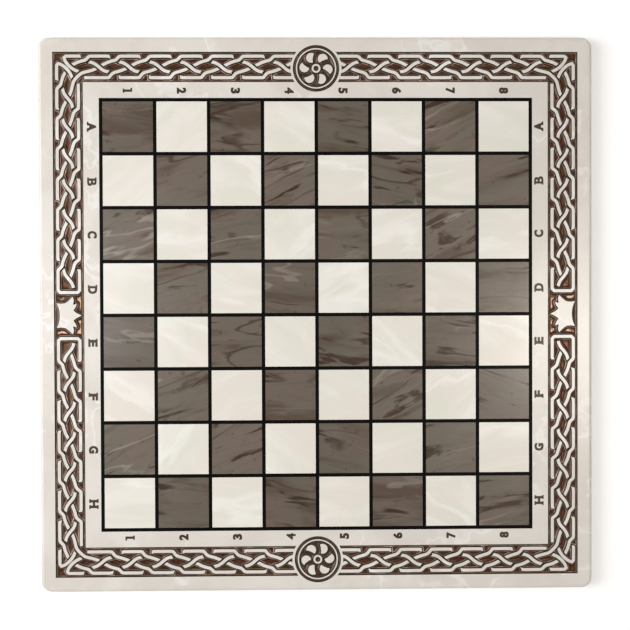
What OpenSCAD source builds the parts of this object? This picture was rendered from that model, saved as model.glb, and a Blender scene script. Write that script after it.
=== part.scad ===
// Chess and draughts board: a slab of cast stone with inlaid squares and a carved knotwork border.
// The underside's centre is the origin. +X runs along squares 1 to 8, +Y points from row h to row a.

/* [Playing squares] */
// Distance between the centres of neighbouring squares
square_pitch = 50; // [40:0.5:60]
// Width of the black joint between squares, and round all of them
joint_w = 3.3; // [1.5:0.1:4]
// Thickness of each inlaid square
tile_t = 5; // [4:0.5:7]

/* [Board] */
// Full thickness of the board, with its cloth
board_t = 16; // [14:0.5:24]
// Width of the border, from the board's edge to the middle of the outermost joint
border_w = 58; // [56:0.5:66]
// Radius of the board's corners, seen from above
corner_r = 10; // [5:0.5:12]
// Radius of the rounded top edge
edge_r = 3; // [1:0.5:4]
// Width of the border's flange, which lies on the base panel
flange_w = 42.5; // [30:0.5:44]
// Thickness of the cloth under the board
cloth_t = 1; // [0.5:0.1:2]
// Distance from the board's edge to the cloth's edge
cloth_inset = 6; // [3:0.5:12]

/* [Carving] */
// Depth of the carved ground
carve_t = 2; // [1:0.1:3]
// Distance from the board's edge to the carved band
band_inset = 13.7; // [12:0.1:16]
// Width of the flat top of each knotwork strand, on a board of standard size
strand_w = 3.2; // [2.4:0.1:3.4]

/* [Hidden] */
$fn = 96;
rows = ["a", "b", "c", "d", "e", "f", "g", "h"];
count = len(rows);
hair = 0.5;

field_w = count * square_pitch + joint_w;
tile_w = square_pitch - joint_w;
board_w = count * square_pitch + 2 * border_w;
half = board_w / 2;
tile_z = board_t - tile_t;
panel_w = board_w - 2 * (border_w - flange_w);
band_half = half - band_inset;

// The carving is drawn for a band that is 28 mm wide and 244.3 mm from the board's middle to its
// outer edge. u runs along the band from its outer corner and v across it from its outer edge.
drawn_half = 244.3;
drawn_band_w = 28;
draw_scale = band_half / drawn_half;
band_w = drawn_band_w * draw_scale;

braid_count = 7;
braid_start = 34.8;
braid_period = 28;
// The top and bottom bands stretch every repeat after their first two
braid_stretch = 0.75;
outer_v = 4;
inner_v = 23.9;

// Directions of the cuts where a strand passes under a falling strand, under a rising one, or from
// a flat stretch under either
cut_falling = [0.74, 0.67];
cut_rising = [0.88, -0.47];
cut_flat = [0.53, 0.85];
cut_square = [0, 1];

// Strands of one repeat, from the start of its flat stretch beside the band's outer edge. The last
// one is placed from the start of the next repeat.
upper_rise = [[-16.1, 12], [-12, 9.9], [-7.5, 8.4], [-4.7, 7.7], [-2.9, 6.3], [-1.2, 4.5], [0.4, outer_v]];
upper_end = [18.9, outer_v];
open_end = [24, outer_v];
falling = [[-0.3, 9.4], [2.6, 10.2], [5.6, 11.9], [8.4, 14.1], [11, 16.3], [14, 17.9], [17.5, 18.5]];
lower_start = [-1.6, inner_v];
lower_rise = [[-10.4, inner_v], [-9.3, 22.3], [-7.9, 20.6], [-5.9, 19.3], [-2.1, 18.2], [1.6, 17], [5, 15.6]];

// Strands that turn each corner of the band
corner_half = [[39, 16.2], [34.8, 17.6], [30.4, 18.7], [27.4, 19.4], [25.2, 20.8], [23.6, 22.3]];
corner_loop = [
    [27.3, outer_v], [12.5, outer_v], [10.8, 5.3], [11.9, 8.4], [14.2, 11.6], [16.8, 14.2],
    [19.9, 16.4], [23.3, 17.9]
];
corner_lower_start = [29.5, inner_v];

// The loop that closes each end of the side bands
loop_end = 222.9;
loop_chamfer = 2;
last_falling = [[-0.3, 9.4], [2.6, 10.2], [6.3, 12.7], [10, 15.8], [13, 17.4], [15.8, 18.2]];

// Half of the plain cartouche in each side band: distance from the board's middle, then v
cartouche_half = [
    [0, 25.4], [1, 23.4], [2.2, 20.9], [3.4, 19.2], [5, 17.9], [6.7, 19.2], [8.8, 20.4],
    [10.9, 20.8], [10.3, 19.2], [9.9, 17.4], [12.1, 18], [14.2, 18.3], [17.3, 17.3], [14.6, 14.6],
    [12.8, 12.5], [11.5, 10.4], [11.1, 8.3], [11.5, 2.7], [7.1, 4.5], [3.2, 5.3], [0, 5.5]
];

// Roundel, from its own centre
roundel_r = 21.6;
roundel_land = 2.2;
roundel_groove = 2.6;
roundel_ring = 1.55;
hub_r = 4.35;
hub_hole_r = 2.4;
blade_count = 6;
blade_at = [10.8, -0.95];
blade_r = 4.7;
hollow_at = [2.15, -12.4];
hollow_r = 12.9;

function unit(v) = v / norm(v);
function left_of(v) = [-v[1], v[0]];
function heading(path, i) = unit(path[i + 1] - path[i]);
function swap(v) = [v[1], v[0]];
function shifted(path, u) = [for (p = path) [p[0] + u, p[1]]];
function reversed(path) = [for (i = [len(path) - 1 : -1 : 0]) path[i]];

// Offset from a bend to the strand's left edge, along the bend's mitre
function mitre(path, i) =
    let (a = left_of(heading(path, i - 1)), m = unit(a + left_of(heading(path, i))))
    m * strand_w / 2 / (m * a);

// Offset from a strand's end to its left edge, along the cut made by the strand that crosses over it
function end_offset(cut, along) = cut * strand_w / 2 / (cut * left_of(along));

// Outline of a strand from its centre line and the directions of its two end cuts
function strand(path, first_cut, last_cut) =
    let (
        last = len(path) - 1,
        edge = [for (i = [0 : last])
            i == 0 ? end_offset(first_cut, heading(path, 0)) :
            i == last ? end_offset(last_cut, heading(path, last - 1)) :
            mitre(path, i)]
    )
    concat([for (i = [0 : last]) path[i] + edge[i]], [for (i = [last : -1 : 0]) path[i] - edge[i]]);

function repeat_u(k, stretch) = braid_start + k * braid_period + stretch * max(0, k - 2);

module upper_strand(u, end) {
    polygon(strand(shifted(concat(upper_rise, [end]), u), cut_falling, cut_flat));
}

module falling_strand(u) {
    polygon(strand(shifted(falling, u), cut_rising, cut_rising));
}

module lower_strand(start, next_u) {
    polygon(strand(concat([start], shifted(lower_rise, next_u)), cut_flat, cut_falling));
}

// One arm of a quadrant's knotwork, without its last repeat
module arm(stretch) {
    for (k = [0 : braid_count - 2]) {
        u = repeat_u(k, stretch);
        upper_strand(u, upper_end);
        falling_strand(u);
        lower_strand(k == 0 ? corner_lower_start : lower_start + [u, 0], repeat_u(k + 1, stretch));
    }
}

// The top and bottom bands run on under the land round the roundel, which cuts their last strands
module open_arm() {
    last = braid_count - 1;
    u = repeat_u(last, braid_stretch);
    next_u = repeat_u(last + 1, braid_stretch);
    arm(braid_stretch);
    upper_strand(u, open_end);
    falling_strand(u);
    lower_strand(lower_start + [u, 0], next_u);
    upper_strand(next_u, upper_end);
}

// The side bands end in a loop beside the cartouche
module closed_arm() {
    u = repeat_u(braid_count - 1, 0);
    arm(0);
    polygon(strand(shifted(last_falling, u), cut_rising, cut_square));
    polygon(strand(concat(
        shifted(upper_rise, u),
        [[loop_end - loop_chamfer, outer_v], [loop_end, outer_v + loop_chamfer]],
        [[loop_end, inner_v - loop_chamfer], [loop_end - loop_chamfer, inner_v]],
        [lower_start + [u, 0]]
    ), cut_falling, cut_flat));
}

// The strands of one quadrant, with the band's outer corner at the origin
module quadrant() {
    open_arm();
    mirror([1, -1]) closed_arm();
    other_half = [for (p = reversed(corner_half)) swap(p)];
    polygon(strand(concat(corner_half, other_half), cut_falling, swap(cut_falling)));
    for (side = [0, 1])
        mirror([side, -side])
            polygon(strand(corner_loop, cut_flat, cut_rising));
}

module knotwork() {
    for (sx = [-1, 1], sy = [-1, 1])
        translate([sx * band_half, sy * band_half])
            mirror([sx > 0 ? 1 : 0, 0])
                mirror([0, sy > 0 ? 1 : 0])
                    scale(draw_scale)
                        quadrant();
}

module cartouche() {
    lower = [for (p = reversed(cartouche_half)) if (p[0] > 0) [-p[0], p[1]]];
    scale(draw_scale)
        polygon([for (p = concat(cartouche_half, lower)) [p[1] - drawn_half, p[0]]]);
}

module roundel_lands() {
    difference() {
        circle(roundel_r - roundel_groove);
        circle(roundel_r - roundel_groove - roundel_ring);
    }
    difference() {
        circle(hub_r);
        circle(hub_hole_r);
    }
    for (i = [0 : blade_count - 1])
        rotate(i * 360 / blade_count)
            difference() {
                translate(blade_at) circle(blade_r);
                translate(hollow_at) circle(hollow_r);
            }
}

module at_roundels() {
    for (flip = [0, 1])
        mirror([0, flip])
            translate([0, half - border_w / 2])
                scale(draw_scale)
                    children();
}

// Everything that is cut down to the carved ground: the bands around the strands, and the roundels
// around their lands
module ground() {
    difference() {
        square(2 * band_half, center = true);
        square(2 * (band_half - band_w), center = true);
        knotwork();
        cartouche();
        mirror([1, 0]) cartouche();
        at_roundels() circle(roundel_r + roundel_land);
    }
    at_roundels()
        difference() {
            circle(roundel_r);
            roundel_lands();
        }
}

// Section of the slab from its middle to an edge with a rounded top
module edge_section(w) {
    h = board_t - cloth_t;
    square([w, h - edge_r]);
    square([w - edge_r, h]);
    translate([w - edge_r, h - edge_r]) circle(edge_r);
}

module slab() {
    straight = board_w - 2 * corner_r;
    translate([0, 0, cloth_t]) {
        for (flip = [0, 1])
            mirror([flip, 0])
                rotate([90, 0, 0])
                    linear_extrude(straight, center = true)
                        edge_section(half);
        for (a = [90, 270])
            rotate(a)
                translate([straight / 2, 0, 0])
                    rotate([90, 0, 0])
                        linear_extrude(straight, center = true)
                            edge_section(corner_r);
        for (a = [0 : 90 : 270])
            rotate(a)
                translate([straight / 2, straight / 2, 0])
                    rotate_extrude(angle = 90)
                        edge_section(corner_r);
    }
}

module plate(w, z, h) {
    translate([-w / 2, -w / 2, z]) cube([w, w, h]);
}

module border_frame() {
    color("ivory")
        difference() {
            slab();
            plate(field_w, 0, board_t + hair);
            plate(panel_w, 0, tile_z);
            translate([0, 0, board_t - carve_t]) linear_extrude(carve_t + hair) ground();
        }
}

module base_panel() {
    color("burlywood") plate(panel_w, cloth_t, tile_z - cloth_t);
}

module baize_sheet() {
    color("darkgreen") plate(board_w - 2 * cloth_inset, 0, cloth_t);
}

module joint_lattice() {
    color("black")
        difference() {
            plate(field_w, tile_z, tile_t);
            for (x = [0 : count - 1], y = [0 : count - 1])
                translate([x - count / 2, y - count / 2] * square_pitch)
                    translate([joint_w / 2, joint_w / 2, tile_z - hair])
                        cube([tile_w, tile_w, tile_t + 2 * hair]);
        }
}

// Every other square of a row
module squares(row, first) {
    for (i = [first : 2 : count - 1])
        translate([i - (count - 1) / 2, (count - 1) / 2 - row] * square_pitch)
            plate(tile_w, tile_z, tile_t);
}

module dark_squares(row) {
    color("dimgray") squares(row, row % 2);
}

module light_squares(row) {
    color("beige") squares(row, (row + 1) % 2);
}

baize_sheet();
base_panel();
border_frame();
joint_lattice();
for (row = [0 : count - 1]) {
    dark_squares(row);
    light_squares(row);
}
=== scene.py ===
# %% [markdown]
# # A chess and draughts board of cast stone
# The board is one flat slab, 516 mm square. Its border carries a carved three-strand knotwork
# band, and its field holds 64 inlaid squares with a black joint round each.
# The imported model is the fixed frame: every node keeps its place, and the pieces made here are
# in the same frame, in metres.

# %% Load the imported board
import math

import bpy
from mathutils import Matrix, Vector


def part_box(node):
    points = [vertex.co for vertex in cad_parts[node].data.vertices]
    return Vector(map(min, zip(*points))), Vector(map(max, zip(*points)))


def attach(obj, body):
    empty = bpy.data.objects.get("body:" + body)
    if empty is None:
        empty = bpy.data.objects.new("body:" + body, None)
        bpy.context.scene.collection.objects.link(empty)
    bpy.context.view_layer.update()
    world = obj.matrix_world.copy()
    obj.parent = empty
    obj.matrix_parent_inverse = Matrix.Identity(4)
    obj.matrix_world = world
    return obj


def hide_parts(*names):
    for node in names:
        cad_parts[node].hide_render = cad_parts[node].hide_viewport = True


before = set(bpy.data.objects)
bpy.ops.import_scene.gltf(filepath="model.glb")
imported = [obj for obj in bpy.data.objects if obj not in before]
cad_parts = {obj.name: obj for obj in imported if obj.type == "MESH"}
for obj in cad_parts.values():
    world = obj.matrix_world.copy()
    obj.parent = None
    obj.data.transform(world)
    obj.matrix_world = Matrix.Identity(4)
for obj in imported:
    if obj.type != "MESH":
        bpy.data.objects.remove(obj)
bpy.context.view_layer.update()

MM = 0.001
board_low, board_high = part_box("border_frame")
slab_half = board_high.x / MM
slab_bottom = board_low.z / MM
slab_top = board_high.z / MM
print("slab", slab_half * 2, "mm square, from", slab_bottom, "to", slab_top, "mm")

# %% [markdown]
# ## Working habits
# An operator acts on everything that is selected, so each piece is made active alone. Solids
# are joined and cut with the Boolean modifier's Manifold solver, which is quick and keeps them
# closed.


# %% Helpers for one piece at a time
def deselect_all():
    if bpy.context.object and bpy.context.object.mode != "OBJECT":
        bpy.ops.object.mode_set(mode="OBJECT")
    bpy.ops.object.select_all(action="DESELECT")


def activate(piece):
    deselect_all()
    piece.select_set(True)
    bpy.context.view_layer.objects.active = piece
    return piece


def copy_of(piece, matrix):
    """A copy with its own mesh, moved by the matrix. A mirrored copy has its faces turned back."""
    double = piece.copy()
    double.data = piece.data.copy()
    bpy.context.scene.collection.objects.link(double)
    double.data.transform(matrix)
    if matrix.determinant() < 0:
        double.data.flip_normals()
    return double


def combine(piece, tool, operation):
    """Joins the tool to the piece, or cuts it away, and removes the tool."""
    boolean = piece.modifiers.new("boolean", "BOOLEAN")
    boolean.solver, boolean.operation, boolean.object = "MANIFOLD", operation, tool
    activate(piece)
    bpy.ops.object.modifier_apply(modifier=boolean.name)
    bpy.data.objects.remove(tool)
    return piece


def merge_all(pieces):
    first, *others = pieces
    for other in others:
        combine(first, other, "UNION")
    return first


def remove_all(pieces):
    for piece in pieces:
        bpy.data.objects.remove(piece)


def piece_from(name, points, faces):
    """A piece from points in millimetres."""
    mesh = bpy.data.meshes.new(name)
    mesh.from_pydata([Vector(p) * MM for p in points], [], faces)
    piece = bpy.data.objects.new(name, mesh)
    bpy.context.scene.collection.objects.link(piece)
    return piece


def close_up(piece):
    """Merges doubled points and points every face outwards."""
    activate(piece)
    bpy.ops.object.mode_set(mode="EDIT")
    bpy.ops.mesh.select_all(action="SELECT")
    bpy.ops.mesh.remove_doubles(threshold=1e-6)
    bpy.ops.mesh.normals_make_consistent(inside=False)
    bpy.ops.object.mode_set(mode="OBJECT")
    return piece


def block(name, half, low, high):
    """A square block round the middle of the board, in millimetres."""
    deselect_all()
    bpy.ops.mesh.primitive_cube_add(
        size=1, calc_uvs=False, location=(0, 0, (low + high) / 2 * MM),
        scale=(2 * half * MM, 2 * half * MM, (high - low) * MM))
    bpy.ops.object.transform_apply(location=True, rotation=True, scale=True)
    piece = bpy.context.object
    piece.name = name
    return piece


def edit_edges(piece, wanted):
    """Enters edit mode with only those edges selected whose ends and middle are all wanted."""
    activate(piece)
    bpy.context.tool_settings.mesh_select_mode = (False, True, False)
    points = piece.data.vertices
    for part in (*piece.data.polygons, *piece.data.vertices):
        part.select = False
    for edge in piece.data.edges:
        edge.select = all(wanted(points[i].co / MM) for i in edge.vertices) and wanted(
            (points[edge.vertices[0]].co + points[edge.vertices[1]].co) / 2 / MM)
    bpy.ops.object.mode_set(mode="EDIT")


# %% [markdown]
# ## The slab
# A real one is poured in a tray and its edges are machined: the corners are rounded seen from
# above, and the top edge has a soft round. A cube is bevelled on its four upright edges, then
# all round the top, so that the second bevel follows the first, and hardly at all round the
# bottom.

# %% Round the slab's corners and edges
CORNER_R, EDGE_R, ARRIS = 10, 3, 0.4
NEAR = 0.1
border = block("border_frame_carved", slab_half, slab_bottom, slab_top)
edit_edges(border, lambda p: abs(abs(p.x) - slab_half) < NEAR and abs(abs(p.y) - slab_half) < NEAR)
bpy.ops.mesh.bevel(offset=CORNER_R * MM, segments=14, affect="EDGES")
edit_edges(border, lambda p: p.z > slab_top - NEAR)
bpy.ops.mesh.bevel(offset=EDGE_R * MM, segments=6, affect="EDGES")
edit_edges(border, lambda p: p.z < slab_bottom + NEAR)
bpy.ops.mesh.bevel(offset=ARRIS * MM, segments=2, affect="EDGES")
bpy.ops.object.mode_set(mode="OBJECT")
print("slab has", len(border.data.polygons), "faces")

# %% [markdown]
# ## The window and the rebate
# The squares sit in a window, and the base panel in a wider rebate below it, so both are cut
# to the very boxes of the nodes that fill them.

# %% Cut the window and the rebate
PROUD = 1
window_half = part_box("joint_lattice")[1].x / MM
panel_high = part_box("base_panel")[1]
combine(border, block("window", window_half, slab_bottom - PROUD, slab_top + PROUD), "DIFFERENCE")
combine(border, block("rebate", panel_high.x / MM, slab_bottom - PROUD, panel_high.z / MM), "DIFFERENCE")
print("window", 2 * window_half, "mm, rebate", 2 * panel_high.x / MM, "mm")

# %% [markdown]
# ## How the carving falls away
# A shallow cutter leaves every land with a flat top, a fine broken edge, and a hollow wall
# with a narrow ledge, from its second pass, that runs out into the ground. The wall is the
# same everywhere, so it is written once, as a list of steps: how far out from the land's edge,
# and how deep. The lands, and some cutters, reach on below the ground, so that no two faces lie
# in one plane.

# %% The wall of the carving
GROUND_DEPTH = 2.0
BELOW = 0.3
WALL = [(0, 0), (0.12, 0.1), (0.4, 0.72), (0.75, 1.14), (1.1, 1.34), (1.45, 1.42), (2.0, 1.68),
        (2.7, 1.9), (3.5, GROUND_DEPTH)]
WALL_RUN = WALL[-1][0]
print("wall runs out over", WALL_RUN, "mm in", len(WALL) - 1, "steps")

# %% [markdown]
# ## A strand
# A strand is a flat ribbon with that wall on both sides, swept along a drawn line. A sweep by
# hand would be an extrude and a turn for every step, and the wall would fold over itself
# inside each tight bend. Here the rings are placed in code, and no ring reaches past the
# centre of its own bend.


# %% Draw a smooth line and sweep a section along it
STEP, STRAIGHT = 1.4, 0.02
BEND_SHARE, HARDLY_BENT = 0.9, 1e-4


def smooth_line(points):
    """A curve through the points, in short steps where it bends and one step where it doesn't."""
    p = [Vector(q) for q in points]
    p = [2 * p[0] - p[1], *p, 2 * p[-1] - p[-2]]
    line = []
    for a, b, c, d in zip(p, p[1:], p[2:], p[3:]):
        straight = abs((b - a).angle_signed(c - b)) + abs((c - b).angle_signed(d - c)) < STRAIGHT
        steps = 1 if straight else max(1, round((c - b).length / STEP))
        before, here, after = (max(q.length, 1e-6) ** 0.5 for q in (b - a, c - b, d - c))
        leave = here * ((b - a) / before - (c - a) / (before + here) + (c - b) / here)
        arrive = here * ((c - b) / here - (d - b) / (here + after) + (d - c) / after)
        for i in range(steps):
            t = i / steps
            line.append((2 * t**3 - 3 * t**2 + 1) * b + (t**3 - 2 * t**2 + t) * leave
                        + (3 * t**2 - 2 * t**3) * c + (t**3 - t**2) * arrive)
    return line + [p[-2]]


def bend_limits(line):
    """For each point of the line, how far a ring may reach to its left and to its right."""
    limits = [[math.inf, math.inf] for _ in line]
    for i in range(1, len(line) - 1):
        a, b = line[i] - line[i - 1], line[i + 1] - line[i]
        turn = a.cross(b) / (a.length * b.length)
        if abs(turn) > HARDLY_BENT:
            radius = BEND_SHARE * (a.length + b.length) / 2 / abs(turn)
            side = 0 if turn > 0 else 1
            for near in (i - 1, i, i + 1):
                limits[near][side] = min(limits[near][side], radius)
    return limits


def sweep(name, line, section):
    """Sweeps a section, as (half width, depth) from its top down, along a line."""
    ring_size, points = 2 * len(section), []
    limits = bend_limits(line)
    for i, here in enumerate(line):
        come = (here - line[i - 1] if i else line[1] - here).normalized()
        go = (line[i + 1] - here if i < len(line) - 1 else come).normalized()
        across = (come + go).orthogonal().normalized()
        across /= across.dot(come.orthogonal().normalized())
        if across.cross(come) > 0:
            across = -across
        left = [(here + across * min(w, limits[i][0]), d) for w, d in section]
        right = [(here - across * min(w, limits[i][1]), d) for w, d in reversed(section)]
        points += [(q.x, q.y, slab_top - d) for q, d in left + right]
    faces = [range(ring_size), reversed(range(len(points) - ring_size, len(points)))]
    for start in range(0, len(points) - ring_size, ring_size):
        for j in range(ring_size):
            k = (j + 1) % ring_size
            faces.append((start + j, start + ring_size + j, start + ring_size + k, start + k))
    return piece_from(name, points, [tuple(f) for f in faces])


# %% [markdown]
# ## Round corners of a strand
# Where a strand turns sharply, a round boss with the same wall stands on the corner. It is
# drawn as half a section and spun round its own axis.


# %% Spin a section about an upright axis
def spun(name, centre, section, steps=64):
    """A round solid from (radius, depth) points, which start and end on the axis or close."""
    x, y = centre
    piece = piece_from(name, [(x + r, y, slab_top - d) for r, d in section], [])
    closed = section[0][0] > 0
    piece.data.edges.add(len(section) if closed else len(section) - 1)
    for i, edge in enumerate(piece.data.edges):
        edge.vertices = (i, (i + 1) % len(section))
    activate(piece)
    bpy.ops.object.mode_set(mode="EDIT")
    bpy.ops.mesh.select_all(action="SELECT")
    bpy.ops.mesh.spin(steps=steps, angle=math.tau, center=(x * MM, y * MM, 0), axis=(0, 0, 1))
    bpy.ops.object.mode_set(mode="OBJECT")
    return close_up(piece)


def disc_section(radius):
    """Half the section of a round land."""
    wall = [(radius + run, depth) for run, depth in WALL]
    return [(0, 0), *wall, (wall[-1][0], GROUND_DEPTH + BELOW), (0, GROUND_DEPTH + BELOW)]


NEAR_AXIS = 0.05


def ring_section(inner, outer):
    """Section of a ring-shaped land. A wall that would cross the axis stops there."""
    out = [(outer + run, depth) for run, depth in WALL]
    into = [(inner - run, depth) for run, depth in WALL if inner - run > NEAR_AXIS]
    into.append((NEAR_AXIS if inner < WALL_RUN else inner - WALL_RUN, GROUND_DEPTH + BELOW))
    return [*out, (out[-1][0], GROUND_DEPTH + BELOW), *reversed(into)]


# %% [markdown]
# ## The plait
# Three strands run along each band, and each goes over one neighbour and under the other. The
# border is drawn from one corner of the band: u runs along it and v across it, both in
# millimetres. One repeat holds three pieces of strand: an upper one beside the outer edge, a
# falling one across the middle and a lower one beside the inner edge. The two beside the edges
# turn in a little where they stop.

# %% Lines of one repeat
LAND_HALF = 1.45
GAP, WIDE_GAP = 1.6, 2.3
OUTER_V, INNER_V = 4, 23.9
FALLING = [(-4.7, 7.3), (-0.3, 9.4), (2.6, 10.2), (5.6, 11.9), (8.4, 14.1), (11, 16.3),
           (14, 17.9), (17.5, 18.6), (20.4, 20.2)]
CROSS_UPPER, CROSS_FALLING = (-4.7, 7.7), (8.2, 13.9)
UPPER_STOP, LOWER_START = [(-8.3, -3), (-5, 9)], [(-4.7, 17), (-4.3, 31)]


def moved(line, u):
    return [(a + u, b) for a, b in line]


def upper_line(before, after):
    """From under the falling strand of the repeat before, to under the next repeat's rise."""
    rise = [*moved([CROSS_FALLING], -before), (-16.1, 12), (-12, 9.9), (-7.5, 8.4), CROSS_UPPER,
            (-2.9, 6.3), (-1.2, 4.5)]
    return [*rise, (0.4, OUTER_V), (3, OUTER_V), *moved([(-12, OUTER_V), (-10.3, 4.2), (-7, 5.7)], after)]


def lower_rise(after):
    return moved([(-13, INNER_V), (-10.4, 23.7), (-9.3, 22.3), (-7.9, 20.6), (-5.9, 19.3),
                  (-2.1, 18.2), (1.6, 17), (5, 15.6), CROSS_FALLING], after)


def lower_line(after):
    """From under the rise of the repeat before, to under the next falling strand."""
    return [(-4.2, 22), (-1.6, 23.1), (0.4, INNER_V), (1.5, INNER_V), *lower_rise(after)]


# %% [markdown]
# ## Over and under
# Where one strand passes over another, the lower one is cut back to leave a gap with the same
# wall. The long strands beside the two edges stop short, so they are cut by a line of their own
# as well.

# %% Strands and the gaps round them
LAND = [(LAND_HALF + run, depth) for run, depth in WALL] + [(LAND_HALF + WALL_RUN, GROUND_DEPTH + BELOW)]


def gap_section(gap):
    """Section of the cutter that follows a strand and leaves a gap on both sides of it."""
    reach = LAND_HALF + gap
    return [(reach, -PROUD)] + [(reach - run, depth) for run, depth in WALL if run < reach]


def strand(name, line, *over, gap=GAP):
    """A strand, cut back where each of the lines given after it passes over."""
    piece = sweep(name, smooth_line(line), LAND)
    for crossing in over:
        combine(piece, sweep("gap", smooth_line(crossing), gap_section(gap)), "DIFFERENCE")
    return piece


def repeat(before, after):
    """The three strands of a repeat, between repeats that are so far away."""
    return [
        strand("upper", upper_line(before, after), moved(FALLING, -before), moved(UPPER_STOP, after)),
        strand("falling", FALLING, upper_line(before, after), lower_line(after), gap=WIDE_GAP),
        strand("lower", lower_line(after), LOWER_START, moved(FALLING, after)),
    ]


# %% [markdown]
# ## One quadrant of the knotwork
# The side bands keep one pitch. In the top and bottom bands the repeats stretch a little, from
# the third one on. The strands of a repeat are made once for each spacing and then copied
# along the band.

# %% Lay out both arms of a quadrant
PITCH, STRETCH, REPEATS, FIRST_U = 28, 0.75, 7, 34.8
BAND_HALF, BAND_W = 244.3, 28


def arm_steps(stretch):
    """Distances from each repeat to the next along an arm."""
    return [PITCH + (stretch if k >= 2 else 0) for k in range(REPEATS)]


def along(u):
    return Matrix.Translation((u * MM, 0, 0))


CORNER_LAND = [(43, 13.9), (39, 16.2), (34.8, 17.6), (30.4, 18.7), (27.4, 19.6), (25.2, 21.1)]
CORNER_LAND += [(v, u) for u, v in reversed(CORNER_LAND)]
LOOP_TOP = [(29.6, 5.6), (27.2, 4.3), (24.8, OUTER_V), (12.5, OUTER_V)]
LOOP_TURN = [(12.5, OUTER_V), (10.8, 5.3)]
LOOP_FALL = [(10.8, 5.3), (11.9, 8.4), (14.2, 11.6), (16.8, 14.2), (19.9, 16.4), (23.3, 18), (26.3, 20.3)]
CORNER_LOWER, CORNER_STOP = [(26, 23.5), (28.4, INNER_V), (32, INNER_V)], -3.9


def corner_loop():
    """The strand that turns the band's outer corner, with a boss on each of its two bends."""
    return merge_all([
        strand("loop_top", LOOP_TOP, moved(UPPER_STOP, FIRST_U + 1)),
        sweep("loop_turn", [Vector(p) for p in LOOP_TURN], LAND),
        strand("loop_fall", LOOP_FALL, CORNER_LAND),
        *(spun("boss", p, disc_section(LAND_HALF)) for p in LOOP_TURN)])


def arm(stretch):
    """All but the last repeat of an arm."""
    steps, made, u = arm_steps(stretch), {}, FIRST_U
    strands = []
    for k in range(REPEATS - 1):
        spacing = (steps[max(k - 1, 0)], steps[k])
        if k == 0:
            first_fall = moved(LOOP_FALL, -FIRST_U)
            first_lower = moved(CORNER_LOWER, -FIRST_U) + lower_rise(steps[0])
            start = [(15.8 - FIRST_U, 13.4)] + upper_line(*spacing)[1:]
            group = [
                strand("upper", start, first_fall, moved(UPPER_STOP, steps[0])),
                strand("falling", FALLING, start, lower_line(steps[0]), gap=WIDE_GAP),
                strand("lower", first_lower, moved(LOWER_START, CORNER_STOP), moved(FALLING, steps[0]))]
        else:
            if spacing not in made:
                made[spacing] = repeat(*spacing)
            group = made[spacing]
        strands += [copy_of(piece, along(u)) for piece in group]
        if k == 0:
            remove_all(group)
        u += steps[k]
    for group in made.values():
        remove_all(group)
    return strands, u


# %% [markdown]
# ## Ends of the arms
# A top or bottom arm runs on under the land round the roundel, so its last strands are simply
# cut by that land. A side arm ends in a square loop beside the plain cartouche.

# %% Finish the open arm and the closed arm
LOOP_END, LOOP_CHAMFER = 222.9, 2
LAST_FALLING = [*FALLING[:3], (6.3, 12.7), (10, 15.8), (13, 17.4), (15.8, 18.2)]


def open_arm():
    """An arm whose last strands run on under a roundel's land."""
    strands, u = arm(STRETCH)
    spacing = (PITCH + STRETCH, PITCH + STRETCH)
    last = repeat(*spacing)
    strands += [copy_of(piece, along(u)) for piece in last]
    strands.append(copy_of(last[0], along(u + spacing[0])))
    remove_all(last)
    return strands


def closed_arm():
    """An arm whose last strands close in a square loop."""
    strands, u = arm(0)
    near, far = LOOP_END - LOOP_CHAMFER, LOOP_END
    corners = [(near, OUTER_V), (far, OUTER_V + LOOP_CHAMFER), (far, INNER_V - LOOP_CHAMFER), (near, INNER_V)]
    rise = moved(upper_line(PITCH, PITCH)[:9], u) + corners[:1]
    back = moved(lower_line(PITCH)[:4], u) + corners[3:]
    strands.append(strand("last_upper", rise, moved(FALLING, u - PITCH)))
    strands.append(strand("last_lower", back, moved(LOWER_START, u)))
    strands.append(strand("last_falling", moved(LAST_FALLING, u), rise))
    strands += [sweep("loop_end", [Vector(a), Vector(b)], LAND) for a, b in zip(corners, corners[1:])]
    strands += [spun("boss", corner, disc_section(LAND_HALF)) for corner in corners]
    return strands


swap_arms = Matrix(((0, 1, 0, 0), (1, 0, 0, 0), (0, 0, 1, 0), (0, 0, 0, 1)))
loop = corner_loop()
side = closed_arm()
first_falling = moved(FALLING, FIRST_U)
corner = strand("corner", CORNER_LAND, first_falling, [(v, u) for u, v in first_falling])
quadrant = open_arm() + [loop, copy_of(loop, swap_arms), corner]
quadrant += [copy_of(piece, swap_arms) for piece in side]
remove_all(side)
quadrant = merge_all(quadrant)
print("one quadrant of knotwork has", len(quadrant.data.polygons), "faces")

# %% [markdown]
# ## The trench
# The ground of the band is a square ring sunk into the slab, with the same hollow wall along
# both of its edges. A plane is inset to leave a ring, the ring is pushed down, and each step
# of the wall is an inset and a move down.

# %% Sink the trench
deselect_all()
bpy.ops.mesh.primitive_plane_add(
    size=2 * BAND_HALF * MM, calc_uvs=False, location=(0, 0, (slab_top + PROUD) * MM))
trench = bpy.context.object
bpy.ops.object.transform_apply(location=True, rotation=True, scale=True)
bpy.ops.object.mode_set(mode="EDIT")
bpy.ops.mesh.select_all(action="SELECT")
bpy.ops.mesh.inset(thickness=BAND_W * MM, depth=0)
bpy.ops.mesh.delete(type="FACE")
bpy.ops.mesh.select_all(action="SELECT")
bpy.ops.mesh.extrude_region_move(TRANSFORM_OT_translate={"value": (0, 0, -PROUD * MM)})
for (run, depth), (next_run, next_depth) in zip(WALL, WALL[1:]):
    bpy.ops.mesh.inset(thickness=(next_run - run) * MM, depth=0)
    bpy.ops.transform.translate(value=(0, 0, (depth - next_depth) * MM))
bpy.ops.mesh.select_all(action="SELECT")
bpy.ops.mesh.normals_make_consistent(inside=False)
bpy.ops.object.mode_set(mode="OBJECT")
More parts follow.
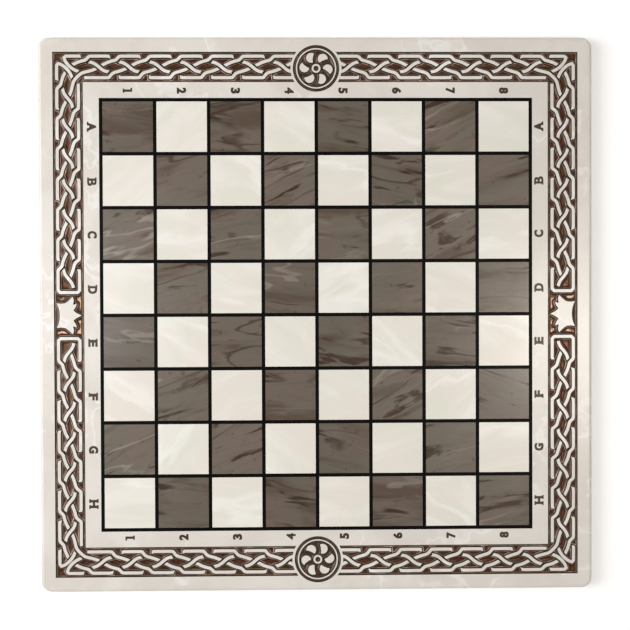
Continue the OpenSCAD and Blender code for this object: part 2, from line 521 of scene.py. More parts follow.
combine(border, trench, "DIFFERENCE")
print("trench", BAND_W, "mm wide and", GROUND_DEPTH, "mm deep")

# %% [markdown]
# ## The roundels' seats
# A roundel sits in a round seat, half way across the border, that is cut to the ground too. A
# plain cylinder is enough, because the roundel's own land covers its wall.

# %% Cut the two seats
ROUNDEL_IN = 29
ROUNDEL_AT = slab_half - ROUNDEL_IN
SEAT_R, LAND_R = 21.6, 23.8
UNDER_LAND, ROUND_STEPS = (SEAT_R + LAND_R) / 2, 96


def seats(depth):
    """A plain round cutter in each roundel's place, cutting so deep."""
    made = []
    for y in (-ROUNDEL_AT, ROUNDEL_AT):
        deselect_all()
        bpy.ops.mesh.primitive_cylinder_add(
            vertices=ROUND_STEPS, radius=UNDER_LAND * MM, depth=(depth + PROUD) * MM, calc_uvs=False,
            location=(0, y * MM, (slab_top + (PROUD - depth) / 2) * MM))
        bpy.ops.object.transform_apply(location=True, rotation=True, scale=True)
        made.append(bpy.context.object)
    return merge_all(made)


combine(border, seats(GROUND_DEPTH), "DIFFERENCE")
print("seats are", ROUNDEL_AT, "mm from the middle")

# %% [markdown]
# ## The knotwork all round
# The border is the same in all four quarters, mirrored. The quarter made above is carried to
# each corner, and what reaches under a roundel's land is cut off.

# %% Mirror the quarter
deselect_all()
knotwork = merge_all([
    copy_of(quadrant, Matrix.Translation((x * BAND_HALF * MM, y * BAND_HALF * MM, 0))
            @ Matrix.Diagonal((-x, -y, 1, 1)))
    for x in (-1, 1) for y in (-1, 1)])
bpy.data.objects.remove(quadrant)
combine(knotwork, seats(GROUND_DEPTH + PROUD), "DIFFERENCE")
combine(border, knotwork, "UNION")
print("knotwork is in:", len(border.data.polygons), "faces")

# %% [markdown]
# ## The roundels
# Each roundel is a ring-shaped land, a thin ring inside it, a hub and six curved blades. The
# rings are half sections that are spun. A blade is a round land with a larger hollow circle
# cut into it, and it is made once and copied round.

# %% Rings, hub and blades
RING_OUT, RING_IN = 18.8, 17.55
HUB_R, HUB_HOLE_R = 4.1, 2.4
BLADES = 6
BLADE_AT, BLADE_R = (10.8, -0.95), 4.6
HOLLOW_AT, HOLLOW_R = (2.15, -12.4), 12.8

hollow = [(0, -PROUD), (HOLLOW_R, -PROUD), *((HOLLOW_R - run, depth) for run, depth in WALL),
          (HOLLOW_R - WALL_RUN, GROUND_DEPTH + PROUD), (0, GROUND_DEPTH + PROUD)]
blade = combine(spun("blade", BLADE_AT, disc_section(BLADE_R), 40),
                spun("hollow", HOLLOW_AT, hollow, ROUND_STEPS), "DIFFERENCE")
blades = [copy_of(blade, Matrix.Rotation(i * math.tau / BLADES, 4, "Z")) for i in range(BLADES)]
bpy.data.objects.remove(blade)
roundel = merge_all([
    spun("land", (0, 0), ring_section(SEAT_R, LAND_R), ROUND_STEPS),
    spun("ring", (0, 0), ring_section(RING_IN, RING_OUT), ROUND_STEPS),
    spun("hub", (0, 0), ring_section(HUB_HOLE_R, HUB_R), 40), *blades])
for flip in (1, -1):
    combine(border, copy_of(roundel, Matrix.Translation((0, flip * ROUNDEL_AT * MM, 0))
                            @ Matrix.Diagonal((1, flip, 1, 1))), "UNION")
bpy.data.objects.remove(roundel)
print("roundels are in:", len(border.data.polygons), "faces")

# %% [markdown]
# ## The plain cartouches
# In the middle of each side band stands a flat pointed shape, left plain. Its edge is a chain
# of curves between sharp corners, so each curve is swept with hardly any top, a small boss
# closes each corner, and a flat plug fills the middle.

# %% Build a cartouche from its edge
EDGE_LAND_HALF = 0.12
CURVES = [
    [(0, 25.4), (1, 23.4), (2.2, 20.9), (3.4, 19.2), (5, 17.9)],
    [(5, 17.9), (6.7, 19.2), (8.8, 20.4), (10.9, 20.8)],
    [(10.9, 20.8), (10.3, 19.2), (9.9, 17.4)],
    [(9.9, 17.4), (12.1, 18), (14.2, 18.3), (17.3, 17.3)],
    [(17.3, 17.3), (14.6, 14.6), (12.8, 12.5), (11.5, 10.4), (11.1, 8.3), (11, 5.6), (11.5, 2.7)],
    [(11.5, 2.7), (7.1, 4.5), (3.2, 5.3), (0, 5.5)],
]
edge_land = [(EDGE_LAND_HALF + run, depth) for run, depth in WALL]
edge_land.append((edge_land[-1][0], GROUND_DEPTH + BELOW))


def cartouche():
    """Drawn with its middle at the origin, along y, and v counted from the band's outer edge."""
    curves = [[Vector((v - BAND_HALF, t)) for t, v in curve] for curve in CURVES]
    curves += [[Vector((p.x, -p.y)) for p in reversed(curve)] for curve in reversed(curves)]
    lines = [smooth_line(curve) for curve in curves]
    outline = [p for line in lines for p in line[:-1]]
    low = slab_top - GROUND_DEPTH - BELOW
    count = len(outline)
    plug = piece_from("plug", [(p.x, p.y, z) for z in (low, slab_top) for p in outline],
                      [tuple(range(count)), tuple(range(count, 2 * count))]
                      + [(i, (i + 1) % count, (i + 1) % count + count, i + count) for i in range(count)])
    edges = [sweep("edge", line, edge_land) for line in lines]
    tips = [spun("tip", line[0], disc_section(EDGE_LAND_HALF), 24) for line in lines]
    return merge_all([close_up(plug), *edges, *tips])


right = cartouche()
combine(border, copy_of(right, Matrix.Diagonal((-1, 1, 1, 1))), "UNION")
combine(border, right, "UNION")
print("cartouches are in:", len(border.data.polygons), "faces")

# %% [markdown]
# ## Letters and numbers
# The board names its rows A to H and its columns 1 to 8 in small sunk slab letters, each
# turned on its side. A text object is already a solid letter once it has a depth and a heavier
# weight, so it is made a mesh and scaled to the measured height. A copy set a little to the
# side and one a little higher thicken its strokes, and thin bars give it feet. The widths are
# in millimetres, and each foot is its left and right end, as shares of the width, and 0 at the
# bottom or 1 at the top. On the left some letters stand a little lower than the middles of
# their squares. All the letters are cut out of the slab in one go.

# %% Shape one letter
CAP, LETTER_DEPTH, FOOT, FOOT_DEEPER = 8.7, 0.5, 1.5, 1.001
WEIGHT, LIGHT_WEIGHT = 0.036, 0.016
WIDER, TALLER = 0.5, 0.4
WIDTHS = {"A": 7.9, "B": 6.9, "C": 6.9, "D": 7.3, "E": 6.7, "F": 6.4, "G": 7.2, "H": 7.7,
          "1": 2.2, "2": 5.7, "3": 5.6, "4": 6.1, "5": 5.6, "6": 5.8, "7": 5.6, "8": 5.8}
FEET = {"A": [(-0.08, 0.34, 0), (0.66, 1.08, 0)], "B": [(-0.13, 0.2, 0), (-0.13, 0.2, 1)],
        "D": [(-0.13, 0.2, 0), (-0.13, 0.2, 1)], "E": [(-0.13, 0.2, 0), (-0.13, 0.2, 1)],
        "F": [(-0.13, 0.48, 0), (-0.13, 0.2, 1)], "1": [(-0.35, 1.35, 0), (-0.7, 0.5, 1)],
        "H": [(-0.1, 0.36, 0), (0.64, 1.1, 0), (-0.1, 0.36, 1), (0.64, 1.1, 1)]}


def letter(character):
    """A solid letter lying at the origin, its middle there and its top towards +Y."""
    deselect_all()
    bpy.ops.object.text_add(location=(0, 0, 0))
    text = bpy.context.object
    text.data.body, text.data.size = character, 1
    text.data.offset = LIGHT_WEIGHT if character in "B4" else WEIGHT
    text.data.extrude, text.data.resolution_u = 1, 4
    bpy.ops.object.convert(target="MESH")
    low, high = ([f(v.co[k] for v in text.data.vertices) for k in range(3)] for f in (min, max))
    spread = [high[k] - low[k] for k in range(3)]
    middle = Matrix.Translation([-(low[k] + high[k]) / 2 for k in range(3)])
    wide, deep = WIDTHS[character] * MM, 2 * LETTER_DEPTH * MM
    text.data.transform(Matrix.Diagonal((
        (wide - WIDER * MM) / spread[0], (CAP - TALLER) * MM / spread[1], deep / spread[2], 1)) @ middle)
    text.name = "letter_" + character
    close_up(text)
    for shift in ((WIDER, 0), (0, TALLER)):
        combine(text, copy_of(text, Matrix.Translation((shift[0] * MM, shift[1] * MM, 0))), "UNION")
    text.data.transform(Matrix.Translation((-WIDER / 2 * MM, -TALLER / 2 * MM, 0)))
    for left, right, end in FEET.get(character, []):
        deselect_all()
        bpy.ops.mesh.primitive_cube_add(
            size=1, calc_uvs=False,
            location=(((left + right) / 2 - 0.5) * wide, (end - 0.5) * (CAP - FOOT) * MM, 0),
            scale=((right - left) * wide, FOOT * MM, deep * FOOT_DEEPER))
        bpy.ops.object.transform_apply(location=True, rotation=True, scale=True)
        combine(text, bpy.context.object, "UNION")
    return text


# %% Set the letters out and cut them
LETTER_X, LETTER_Y = (-208.4, 207.9), (208.4, -207.3)
LEFT_LOWER = {"B": 1.3, "D": 1.3, "E": 0.9, "F": 0.9, "H": 0.6}
SQUARE = 50


def set_out():
    """Every letter twice, at the two ends of its row, and every number at those of its column."""
    cutters = []
    for i, name in enumerate("ABCDEFGH"):
        step = (i - 3.5) * SQUARE
        row, column = letter(name), letter(str(i + 1))
        places = [
            (row, LETTER_X[0], -step - LEFT_LOWER.get(name, 0), -1), (row, LETTER_X[1], -step, 1),
            (column, step, LETTER_Y[0], -1), (column, step, LETTER_Y[1], 1)]
        cutters += [copy_of(sign, Matrix.Translation((x * MM, y * MM, slab_top * MM))
                            @ Matrix.Rotation(turn * math.pi / 2, 4, "Z")) for sign, x, y, turn in places]
        remove_all((row, column))
    return cutters


cutters = set_out()
activate(cutters[0])
for cutter in cutters[1:]:
    cutter.select_set(True)
bpy.ops.object.join()
combine(border, cutters[0], "DIFFERENCE")
print("letters are cut:", len(border.data.polygons), "faces")

# %% [markdown]
# ## Smooth the carving
# The carving is a mass of small flat faces. Smooth shading by angle rounds the hollow walls and
# keeps the crisp edge of every land, so nothing more has to be modelled. The level tops are
# left flat, so that no thin triangle beside a cut can shade them.

# %% Shade by angle
SMOOTH_BELOW, LEVEL = 30, 0.9999
activate(border)
bpy.ops.object.shade_smooth_by_angle(angle=math.radians(SMOOTH_BELOW))
for face in border.data.polygons:
    if abs(face.normal.z) > LEVEL:
        face.use_smooth = False
print("border is shaded smooth below", SMOOTH_BELOW, "degrees, and its level faces are flat")

# %% [markdown]
# ## The cloth below
# A board like this stands on thin baize, glued flat under it. It is cut from a plane with
# rounded corners, given its thickness, and its lower edge is softened a little. It lies exactly
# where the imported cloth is.

# %% Cut the cloth
CLOTH_CORNER, CLOTH_EDGE, CLOTH_SMOOTH = 5, 0.3, 40
cloth_low, cloth_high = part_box("baize_sheet")
cloth_size = cloth_high.x - cloth_low.x
deselect_all()
bpy.ops.mesh.primitive_plane_add(size=cloth_size, calc_uvs=False, location=(0, 0, cloth_low.z))
cloth = bpy.context.object
cloth.name = "baize_cloth"
bpy.ops.object.transform_apply(location=True, rotation=True, scale=True)
bpy.ops.object.mode_set(mode="EDIT")
bpy.ops.mesh.select_all(action="SELECT")
bpy.ops.mesh.bevel(offset=CLOTH_CORNER * MM, segments=8, affect="VERTICES")
bpy.ops.mesh.extrude_region_move(TRANSFORM_OT_translate={"value": (0, 0, cloth_high.z - cloth_low.z)})
bpy.ops.mesh.select_all(action="SELECT")
bpy.ops.mesh.normals_make_consistent(inside=False)
edit_edges(cloth, lambda p: p.z < cloth_low.z / MM + NEAR)
bpy.ops.mesh.bevel(offset=CLOTH_EDGE * MM, segments=3, affect="EDGES")
bpy.ops.object.mode_set(mode="OBJECT")
bpy.ops.object.shade_smooth_by_angle(angle=math.radians(CLOTH_SMOOTH))
print("cloth", round(cloth_size / MM), "mm square,", len(cloth.data.polygons), "faces")

# %% [markdown]
# ## Materials are node trees
# Each finish is one Principled shader with nodes before it. What several finishes share is a
# node group: veins in cast stone, a fresh piece of pattern for every square, and the marks that
# polishing and handling leave. Small helpers add a node, set it and link it in one line.


# %% Helpers for node trees
def set_inputs(tree, made, inputs):
    """Links or sets a node's inputs. A colour is given with three values."""
    for key, value in inputs.items():
        socket = made.inputs[key]
        if isinstance(value, bpy.types.NodeSocket):
            tree.links.new(value, socket)
        else:
            socket.default_value = (*value, 1) if socket.type == "RGBA" else value


def node(tree, kind, inputs=None, **settings):
    made = tree.nodes.new("ShaderNode" + kind)
    for key, value in settings.items():
        setattr(made, key, value)
    set_inputs(tree, made, inputs or {})
    return made


def maths(tree, operation, *values):
    return node(tree, "Math", dict(enumerate(values)), operation=operation).outputs[0]


def times(tree, first, second):
    return maths(tree, "MULTIPLY", first, second)


def vector_maths(tree, operation, *values):
    return node(tree, "VectorMath", dict(enumerate(values)), operation=operation).outputs[0]


def stretched(tree, vector, by):
    return vector_maths(tree, "MULTIPLY", vector, by)


def scaled(tree, vector, by):
    return node(tree, "VectorMath", {0: vector, "Scale": by}, operation="SCALE").outputs[0]


def fade(tree, value, start, end, to_start=0.0, to_end=1.0):
    """Turns a value between start and end into a smooth mask."""
    return node(tree, "MapRange", {"Value": value, "From Min": start, "From Max": end, "To Min": to_start,
                                   "To Max": to_end}, interpolation_type="SMOOTHSTEP").outputs[0]


def blended(tree, mask, under, over):
    """Lays one colour over another where the mask is."""
    return node(tree, "Mix", {0: mask, 6: under, 7: over}, data_type="RGBA").outputs[2]


def noise(tree, vector, scale, detail=3, roughness=0.5, distortion=0.0):
    return node(tree, "TexNoise", {"Vector": vector, "Scale": scale, "Detail": detail,
                                   "Roughness": roughness, "Distortion": distortion})


def group(name, inputs, outputs):
    """A new node group, with its inside ends."""
    tree = bpy.data.node_groups.new(name, "ShaderNodeTree")
    for label, kind, value in inputs:
        socket = tree.interface.new_socket(label, in_out="INPUT", socket_type="NodeSocket" + kind)
        if value is not None:
            socket.default_value = value
    for label, kind in outputs:
        tree.interface.new_socket(label, in_out="OUTPUT", socket_type="NodeSocket" + kind)
    return tree, tree.nodes.new("NodeGroupInput").outputs, tree.nodes.new("NodeGroupOutput").inputs


def use(tree, shared, **inputs):
    return node(tree, "Group", {key.replace("_", " "): value for key, value in inputs.items()},
                node_tree=shared).outputs


# %% [markdown]
# ## Veins
# Two resins that are poured together leave thin drawn-out lines between them. A line of equal
# value in a warped noise is such a line: it wanders, closes on itself and varies in width. A
# second, wider noise makes veins come and go.

# %% Group: veins
veins, given, result = group(
    "veins", [("Vector", "Vector", None), ("Size", "Float", 0.05), ("Warp", "Float", 0.5),
              ("Width", "Float", 0.03), ("Seldom", "Float", 0.5)], [("Mask", "Float")])
per_metre = maths(veins, "DIVIDE", 1.0, given["Size"])
place = scaled(veins, given["Vector"], per_metre)
warp = vector_maths(veins, "SUBTRACT", noise(veins, place, 1.3, 3).outputs["Color"], (0.5, 0.5, 0.5))
place = vector_maths(veins, "ADD", place, scaled(veins, warp, given["Warp"]))
level = maths(veins, "ABSOLUTE", maths(veins, "SUBTRACT", noise(veins, place, 1.0, 2, 0.45).outputs[0], 0.5))
line = maths(veins, "SUBTRACT", 1.0, fade(veins, maths(veins, "DIVIDE", level, given["Width"]), 0.0, 1.0))
patches = noise(veins, place, 0.55, 1).outputs[0]
there = fade(veins, maths(veins, "SUBTRACT", patches, given["Seldom"]), -0.03, 0.09)
veins.links.new(times(veins, line, there), result["Mask"])
print("group veins has", len(veins.nodes), "nodes")

# %% [markdown]
# ## Every square is its own casting
# The squares of one colour share a material, but each was cut from another place of the
# casting. The group finds which square a point belongs to, and moves and turns the pattern by
# a random amount for that square. It turns more one way than the other, as the pour leaned.

# %% Group: own square
LEAN, APART = 0.4, 9.0
own_square, given, result = group(
    "own_square", [("Vector", "Vector", None), ("Turn", "Float", 0.8)],
    [("Vector", "Vector"), ("Shade", "Float")])
cell = vector_maths(own_square, "FLOOR", scaled(own_square, given["Vector"], 1 / (SQUARE * MM)))
chance = node(own_square, "TexWhiteNoise", {"Vector": cell}, noise_dimensions="3D")
part_turn = maths(own_square, "SUBTRACT", LEAN, chance.outputs["Value"])
angle = times(own_square, part_turn, given["Turn"])
turned = node(own_square, "VectorRotate", {"Vector": given["Vector"], "Angle": angle}, rotation_type="Z_AXIS")
own_square.links.new(vector_maths(own_square, "ADD", turned.outputs[0],
                                  scaled(own_square, chance.outputs["Color"], APART)), result["Vector"])
parts = node(own_square, "SeparateColor", {"Color": chance.outputs["Color"]})
own_square.links.new(parts.outputs[0], result["Shade"])
print("group own_square has", len(own_square.nodes), "nodes")

# %% [markdown]
# ## Polish and handling
# A polished casting isn't a mirror: buffing leaves fine streaks in two directions, and hands
# leave duller patches. The group gives a gloss value and a height, both very weak.

# %% Group: polish
polish, given, result = group(
    "polish", [("Vector", "Vector", None), ("Marks", "Float", 1.0)], [("Dull", "Float"), ("Height", "Float")])
patches = fade(polish, noise(polish, given["Vector"], 18, 3).outputs[0], 0.45, 0.7)
first = noise(polish, stretched(polish, given["Vector"], (90, 2600, 90)), 1, 2).outputs[0]
second = noise(polish, stretched(polish, given["Vector"], (2300, 70, 70)), 1, 2).outputs[0]
scratched = fade(polish, maths(polish, "MAXIMUM", first, second), 0.62, 0.74)
hairs = times(polish, scratched, given["Marks"])
polish.links.new(
    maths(polish, "ADD", times(polish, patches, 0.6), times(polish, hairs, 0.4)), result["Dull"])
swell = noise(polish, given["Vector"], 55, 2).outputs[0]
polish.links.new(maths(polish, "SUBTRACT", swell, times(polish, hairs, 0.15)), result["Height"])
print("group polish has", len(polish.nodes), "nodes")


# %% Start and end of a material
def material(name):
    """A material with its node tree and the point on the piece that its pattern reads."""
    made = bpy.data.materials.new(name)
    made.use_nodes = True
    tree = made.node_tree
    return made, tree, node(tree, "TexCoord").outputs["Object"]


def surface(tree, colour, roughness, height, distance, **others):
    """Feeds the Principled shader, with the height as a relief of so many metres."""
    relief = node(tree, "Bump", {"Height": height, "Distance": distance}).outputs[0]
    set_inputs(tree, tree.nodes["Principled BSDF"], {
        "Base Color": colour, "Roughness": roughness, "Normal": relief,
        **{key.replace("_", " "): value for key, value in others.items()}})
    print("a material of", len(tree.nodes), "nodes")


RELIEF = 0.00002


def polished(tree, point, colour, rough, rougher, **others):
    """A surface with the marks of polishing, whose roughness lies between the two values."""
    wear = use(tree, polish, Vector=point, Marks=1.0)
    surface(tree, colour, fade(tree, wear["Dull"], 0.0, 1.0, rough, rougher), wear["Height"], RELIEF,
            **others)


# %% [markdown]
# ## Pearl stone
# The border is one pour of off-white resin and marble dust. Faint whiter clouds and thin swirls
# run through it, and it is buffed to a soft gloss.

# %% Material: pearl stone
PEARL, PEARL_CLOUD, PEARL_WISP = (0.69, 0.65, 0.6), (0.745, 0.715, 0.67), (0.88, 0.865, 0.84)
pearl, tree, point = material("pearl_stone")
clouds = fade(tree, noise(tree, point, 14, 4, 0.6, 0.8).outputs[0], 0.38, 0.66)
wisps = use(tree, veins, Vector=point, Size=0.06, Warp=1.6, Width=0.035, Seldom=0.47)["Mask"]
colour = blended(tree, clouds, PEARL, PEARL_CLOUD)
colour = blended(tree, times(tree, wisps, 0.55), colour, PEARL_WISP)
polished(tree, point, colour, 0.24, 0.34)

# %% [markdown]
# ## Bronze paint in the carving
# Dark paint is worked into the carving and wiped off the lands. It is darkest on the walls,
# partly as painted shade, carries a painted highlight along the ledge, and turns red-brown low
# down with a metal glint. Depth below the top is known from the Object coordinate, so one ramp
# over depth, 0 at the lands and 1 at the ground, colours all of it.

# %% Bronze paint: its colour by depth, with painted shade on the walls and a painted highlight on the ledge
# The darkest stops, on the walls, are partly painted shade, and the light stop at the ledge is a painted
# highlight.
PAINT_WITH_SHADE_AND_HIGHLIGHT = [(0.0, (0.06, 0.038, 0.026)), (0.25, (0.062, 0.044, 0.033)), (0.4, (0.024, 0.013, 0.007)),
         (0.62, (0.026, 0.013, 0.007)), (0.69, (0.26, 0.185, 0.14)), (0.75, (0.045, 0.018, 0.009)),
         (0.93, (0.055, 0.015, 0.006)), (0.985, (0.08, 0.025, 0.008)), (1.0, (0.11, 0.046, 0.018))]
bronze, tree, point = material("bronze_paint")
across, along_y, height = node(tree, "SeparateXYZ", {"Vector": point}).outputs
top_m, ground_m = slab_top * MM, (slab_top - GROUND_DEPTH) * MM
depth = node(tree, "MapRange", {"Value": height, "From Min": top_m, "From Max": ground_m}).outputs[0]
ramp = node(tree, "ValToRGB", {"Fac": depth})
stops = ramp.color_ramp.elements
while len(stops) < len(PAINT_WITH_SHADE_AND_HIGHLIGHT):
    stops.new(0.5)
for stop, (at, shade) in zip(stops, PAINT_WITH_SHADE_AND_HIGHLIGHT):
    stop.position, stop.color = at, (*shade, 1)
print("paint has", len(stops), "colours from the lands to the ground")

# %% [markdown]
# ## Wear in the paint
# Smears lie everywhere in the paint, and patches of the ledge carry a brighter painted highlight.
# In the roundels all of the paint is darker, which tones down the painted ledge highlight there.
# Beside the two cartouches the flat ground carries a painted coppery peach reflection. Each is
# a mask from noise, from depth or from the place on the board, so the mesh needs no colours of
# its own.

# %% Bronze paint: smears, the painted ledge highlight and the painted peach reflection
SMEAR, ROUNDEL_DARK, LEDGE_HIGHLIGHT, PEACH_REFLECTION = (0.1, 0.055, 0.03), (0.05, 0.03, 0.02), (0.6, 0.42, 0.34), (0.78, 0.5, 0.33)
LEDGE_AT, PEACH_REFLECTION_TO, PEACH_REFLECTION_FADE = 0.69, 0.0275, 0.006
smears = fade(tree, noise(tree, point, 260, 4, 0.6).outputs[0], 0.4, 0.68)
colour = blended(tree, times(tree, smears, 0.3), ramp.outputs["Color"], SMEAR)
ledge = fade(tree, maths(tree, "ABSOLUTE", maths(tree, "SUBTRACT", depth, LEDGE_AT)), 0.05, 0.01)
# Patches of the ledge get a brighter, pinker painted highlight.
highlight_patches = fade(tree, noise(tree, point, 90, 2).outputs[0], 0.53, 0.6, 0, 0.75)
colour = blended(tree, times(tree, ledge, highlight_patches), colour, LEDGE_HIGHLIGHT)
from_side, from_middle = (maths(tree, "ABSOLUTE", value) for value in (across, along_y))
off_centre = maths(tree, "SUBTRACT", from_middle, ROUNDEL_AT * MM)
from_roundel = maths(tree, "ADD", times(tree, off_centre, off_centre), times(tree, from_side, from_side))
# Everything in a roundel is darkened, which also tones down the painted ledge highlight there.
near_roundel = fade(tree, from_roundel, (SEAT_R * MM) ** 2, (LAND_R * MM) ** 2, 0.65, 0.0)
colour = blended(tree, near_roundel, colour, ROUNDEL_DARK)
# Beside the cartouches the flat ground gets a patchy painted peach reflection, with less metal there.
beside = times(tree, fade(tree, depth, 0.975, 1.0), fade(tree, from_side, 0.2, 0.21))
peach_reflection = times(tree, fade(tree, from_middle, PEACH_REFLECTION_TO, PEACH_REFLECTION_TO - PEACH_REFLECTION_FADE), beside)
patchy = fade(tree, noise(tree, point, 210, 2).outputs[0], 0.4, 0.55)
colour = blended(tree, times(tree, peach_reflection, patchy), colour, PEACH_REFLECTION)
metal = maths(tree, "SUBTRACT", fade(tree, depth, 0.9, 1.0, 0.2, 0.55), times(tree, peach_reflection, 0.5))
surface(tree, colour, fade(tree, smears, 0, 1, 0.28, 0.42), noise(tree, point, 900, 2).outputs[0],
        0.00004, Metallic=metal, Specular_IOR_Level=0.3)

# %% [markdown]
# ## Dark and light squares
# The dark squares are taupe, with darker strokes that the pour has drawn out sideways, a few
# thin dark veins and pale wisps. The light squares are cream with whiter drawn-out swirls. Both
# read the group that gives every square its own place in the pattern.

# %% Material: dark stone
OLIVE, TAUPE, UMBER = (0.144, 0.125, 0.099), (0.156, 0.122, 0.1), (0.088, 0.057, 0.039)
STROKE, WISP = (0.042, 0.021, 0.012), (0.37, 0.33, 0.28)
dark, tree, point = material("dark_stone")
square = use(tree, own_square, Vector=point, Turn=0.8)
tint = fade(tree, noise(tree, square["Vector"], 28, 2).outputs[0], 0.38, 0.62)
colour = blended(tree, tint, OLIVE, TAUPE)
drawn = stretched(tree, square["Vector"], (13, 70, 70))
bands = fade(tree, noise(tree, drawn, 0.8, 4, 0.55, 0.4).outputs[0], 0.48, 0.7)
colour = blended(tree, times(tree, bands, 0.8), colour, UMBER)
ripple = fade(tree, noise(tree, drawn, 2.6, 3, 0.6, 0.6).outputs[0], 0.5, 0.75)
colour = blended(tree, times(tree, ripple, 0.35), colour, UMBER)
where = fade(tree, noise(tree, square["Vector"], 19, 2).outputs[0], 0.43, 0.56)
stroke = fade(tree, noise(tree, drawn, 1.2, 4, 0.55, 0.9).outputs[0], 0.55, 0.63)
colour = blended(tree, times(tree, times(tree, stroke, where), 0.92), colour, STROKE)
drawn_less = stretched(tree, square["Vector"], (0.3, 1.3, 1.3))
thin = use(tree, veins, Vector=drawn_less, Size=0.045, Warp=0.8, Width=0.02, Seldom=0.5)["Mask"]
colour = blended(tree, times(tree, thin, 0.75), colour, STROKE)
blots = fade(tree, noise(tree, square["Vector"], 130, 2).outputs[0], 0.66, 0.76)
colour = blended(tree, times(tree, blots, 0.45), colour, STROKE)
pale = use(tree, veins, Vector=vector_maths(tree, "ADD", drawn_less, (3, 5, 0)), Size=0.05, Warp=1.5,
           Width=0.025, Seldom=0.57)["Mask"]
colour = blended(tree, times(tree, pale, 0.45), colour, WISP)
colour = scaled(tree, colour, fade(tree, square["Shade"], 0, 1, 0.9, 1.1))
polished(tree, point, colour, 0.22, 0.32)

# %% Material: light stone
CREAM, ROSE_CREAM = (0.75, 0.745, 0.665), (0.785, 0.735, 0.675)
CREAM_CLOUD, SWIRL = (0.83, 0.805, 0.75), (0.93, 0.92, 0.89)
light, tree, point = material("light_stone")
square = use(tree, own_square, Vector=point, Turn=1.6)
drawn = stretched(tree, square["Vector"], (0.5, 1.5, 1.5))
clouds = fade(tree, noise(tree, drawn, 22, 4, 0.6, 1.0).outputs[0], 0.4, 0.68)
tint = fade(tree, noise(tree, square["Vector"], 22, 2).outputs[0], 0.4, 0.6)
colour = blended(tree, clouds, blended(tree, tint, CREAM, ROSE_CREAM), CREAM_CLOUD)
swirls = use(tree, veins, Vector=drawn, Size=0.05, Warp=1.1, Width=0.08, Seldom=0.51)["Mask"]
colour = blended(tree, times(tree, swirls, 0.5), colour, SWIRL)
polished(tree, point, colour, 0.2, 0.3)

# %% [markdown]
# ## Joint, panel and cloth
# The joints are black resin, filled and polished flush. The base panel is plain fibreboard,
# with short fibres that lie every way. The cloth is green baize, and its fuzz is a fine noise
# with the soft sheen of wool.

# %% Material: black joint
BLACK, SPECK = (0.003, 0.003, 0.003), (0.012, 0.011, 0.01)
joint, tree, point = material("black_joint")
specks = fade(tree, noise(tree, point, 700, 3, 0.6).outputs[0], 0.62, 0.78)
colour = blended(tree, specks, BLACK, SPECK)
polished(tree, point, colour, 0.35, 0.5, Specular_IOR_Level=0.06)

# %% Material: fibreboard
FIBRE_DARK, FIBRE_LIGHT, FIBRE_CLOUD = (0.36, 0.24, 0.14), (0.58, 0.43, 0.28), (0.42, 0.3, 0.19)
board, tree, point = material("fibreboard")
fibres = noise(tree, point, 900, 4, 0.7, 1.5).outputs[0]
clouds = fade(tree, noise(tree, point, 40, 3).outputs[0], 0.35, 0.7)
colour = blended(tree, fade(tree, fibres, 0.35, 0.7), FIBRE_DARK, FIBRE_LIGHT)
colour = blended(tree, times(tree, clouds, 0.4), colour, FIBRE_CLOUD)
surface(tree, colour, fade(tree, fibres, 0.3, 0.7, 0.62, 0.85), fibres, 0.0001)

# %% Material: baize
GREEN_DEEP, GREEN, GREEN_NAP = (0.008, 0.045, 0.024), (0.03, 0.13, 0.07), (0.035, 0.12, 0.075)
baize, tree, point = material("baize")
fuzz = noise(tree, point, 1500, 3, 0.7).outputs[0]
nap = noise(tree, stretched(tree, point, (25, 60, 60)), 1, 3).outputs[0]
colour = blended(tree, fade(tree, fuzz, 0.3, 0.72), GREEN_DEEP, GREEN)
colour = blended(tree, times(tree, fade(tree, nap, 0.4, 0.7), 0.35), colour, GREEN_NAP)
surface(tree, colour, fade(tree, fuzz, 0.3, 0.7, 0.8, 1.0), fuzz, 0.0002, Sheen_Weight=0.4)

# %% [markdown]
# ## Paint only what lies below the lands
# The border is one solid, so its faces are sorted by place: what lies inside the band, in a
# roundel or in a letter, and below the very top, takes the paint. Only the flat lands, which
# are wiped, stay pale.

# %% Sort the border's faces
PAINT_BELOW, INK_BELOW, SPILL, LETTER_MARGIN = 0.03, 0.02, 0.2, 0.5
INNER_BAND, LETTERS_INNER = BAND_HALF - BAND_W, window_half + 0.6
border.data.materials.clear()
border.data.materials.append(pearl)
border.data.materials.append(bronze)
painted = 0
for face in border.data.polygons:
    middle = face.center / MM
    reach = max(abs(middle.x), abs(middle.y))
    under = slab_top - middle.z
    in_roundel = math.hypot(middle.x, abs(middle.y) - ROUNDEL_AT) < SEAT_R + 0.5
    in_band = INNER_BAND - SPILL < reach < BAND_HALF + SPILL
    carved = PAINT_BELOW < under < GROUND_DEPTH + 1 and (in_band or in_roundel)
    in_letter = LETTERS_INNER < reach < INNER_BAND - LETTER_MARGIN and INK_BELOW < under < 1
    face.material_index = int(carved or in_letter)
    painted += face.material_index
print(painted, "of", len(border.data.polygons), "faces are painted")


# %% Give every node and piece its finish
def finish_with(piece, made):
    if not piece.material_slots:
        piece.data.materials.append(made)
    for place in piece.material_slots:
        place.material = made


kinds = {"dark_squares": dark, "light_squares": light, "joint_lattice": joint, "base_panel": board,
         "border_frame": pearl, "baize_sheet": baize}
for name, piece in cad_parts.items():
    finish_with(piece, next(kind for start, kind in kinds.items() if name.startswith(start)))
finish_with(cloth, baize)
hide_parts("border_frame")
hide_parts("baize_sheet")
for piece, slot in ((border, "pale_stone"), (cloth, "baize")):
    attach(piece, "root")
print("finishes are on", len(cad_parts), "nodes and 2 pieces")

# %% [markdown]
# ## The table and the light
# The board lies on a plain white table, seen from straight above. The table keeps the soft
# shadow, and only to the camera and in reflections is it lifted a little towards white. It lies
# a hair below the cloth, so that no two faces share a plane. The sky is soft, brighter low
# down, and white to the camera. A wide window lies to the left, and two small lamps high up on
# either side leave a faint glow along the board's left and right sides.

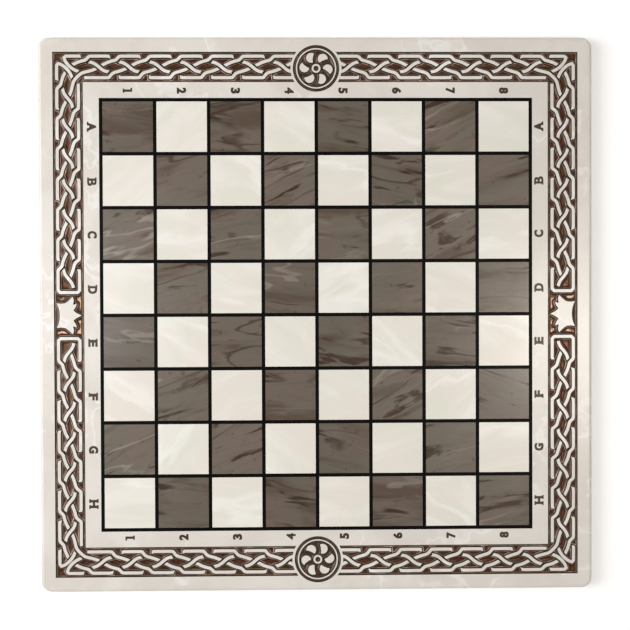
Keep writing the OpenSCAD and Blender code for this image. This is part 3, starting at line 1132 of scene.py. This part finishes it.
# %% Table
TABLE_SIZE, TABLE_AT, TABLE_LIFT = 4, -0.0001, 0.3
deselect_all()
bpy.ops.mesh.primitive_plane_add(size=TABLE_SIZE, location=(0, 0, TABLE_AT))
bpy.ops.object.transform_apply(location=True, rotation=True, scale=True)
table = bpy.context.object
table.name = "table"
white, tree, point = material("white_table")
shader = tree.nodes["Principled BSDF"]
grain = fade(tree, noise(tree, point, 30, 3).outputs[0], 0.3, 0.7)
paper = blended(tree, grain, (0.86, 0.86, 0.86), (0.88, 0.88, 0.88))
set_inputs(tree, shader, {"Base Color": paper, "Roughness": 0.7})
ray = node(tree, "LightPath").outputs
mirrored = maths(tree, "MAXIMUM", ray["Is Glossy Ray"], ray["Is Transmission Ray"])
seen = maths(tree, "MAXIMUM", ray["Is Camera Ray"], mirrored)
lift = node(tree, "Emission", {"Strength": times(tree, seen, TABLE_LIFT)})
both = node(tree, "AddShader", {0: shader.outputs[0], 1: lift.outputs[0]})
tree.links.new(both.outputs[0], tree.nodes["Material Output"].inputs["Surface"])
finish_with(table, white)
print("table is", TABLE_SIZE, "m wide")

# %% Sky
LOW_SKY, HIGH_SKY, SKY_WHITE = 0.51, 0.15, (1.0, 0.985, 0.96)
world = bpy.data.worlds.new("soft_sky")
bpy.context.scene.world = world
world.use_nodes = True
tree = world.node_tree
up = node(tree, "SeparateXYZ", {"Vector": node(tree, "TexCoord").outputs["Generated"]}).outputs["Z"]
to_camera = node(tree, "LightPath").outputs["Is Camera Ray"]
sky = maths(tree, "MAXIMUM", fade(tree, up, 0.3, 1.0, LOW_SKY, HIGH_SKY), to_camera)
set_inputs(tree, tree.nodes["Background"], {"Strength": sky, "Color": SKY_WHITE})
print("sky is", LOW_SKY, "low down and", HIGH_SKY, "overhead")


# %% Lamps and camera
def lamp(name, place, size, strength, colour):
    """A soft lamp that faces the middle of the board."""
    deselect_all()
    bpy.ops.object.light_add(type="AREA", location=place)
    made = bpy.context.object
    made.name = name
    made.data.shape, (made.data.size, made.data.size_y) = "RECTANGLE", size
    made.data.energy, made.data.color = strength, colour
    made.rotation_euler = (-Vector(place)).to_track_quat("-Z", "Y").to_euler()


lamp("window", (-1.5, 0.1, 1.3), (1.2, 1.2), 25.7, (1.0, 0.99, 0.975))
lamp("left_glow", (-0.67, -0.02, 1.5), (0.2, 0.6), 3.9, (0.98, 0.99, 1.0))
lamp("right_glow", (0.655, -0.09, 1.5), (0.24, 0.42), 5.6, (1.0, 0.91, 0.81))

CAMERA_AT, CAMERA_TURN = (-0.0378, 0.0251, 1.40282), (-0.01828, -0.026, -0.00374)
LENS, SENSOR = 85, 36
bpy.ops.object.camera_add(location=CAMERA_AT, rotation=CAMERA_TURN)
camera = bpy.context.object
camera.data.lens, camera.data.sensor_width = LENS, SENSOR
bpy.context.scene.camera = camera
bpy.context.scene.view_settings.view_transform = "Standard"
print("camera is", round(camera.location.z, 2), "m above the table")
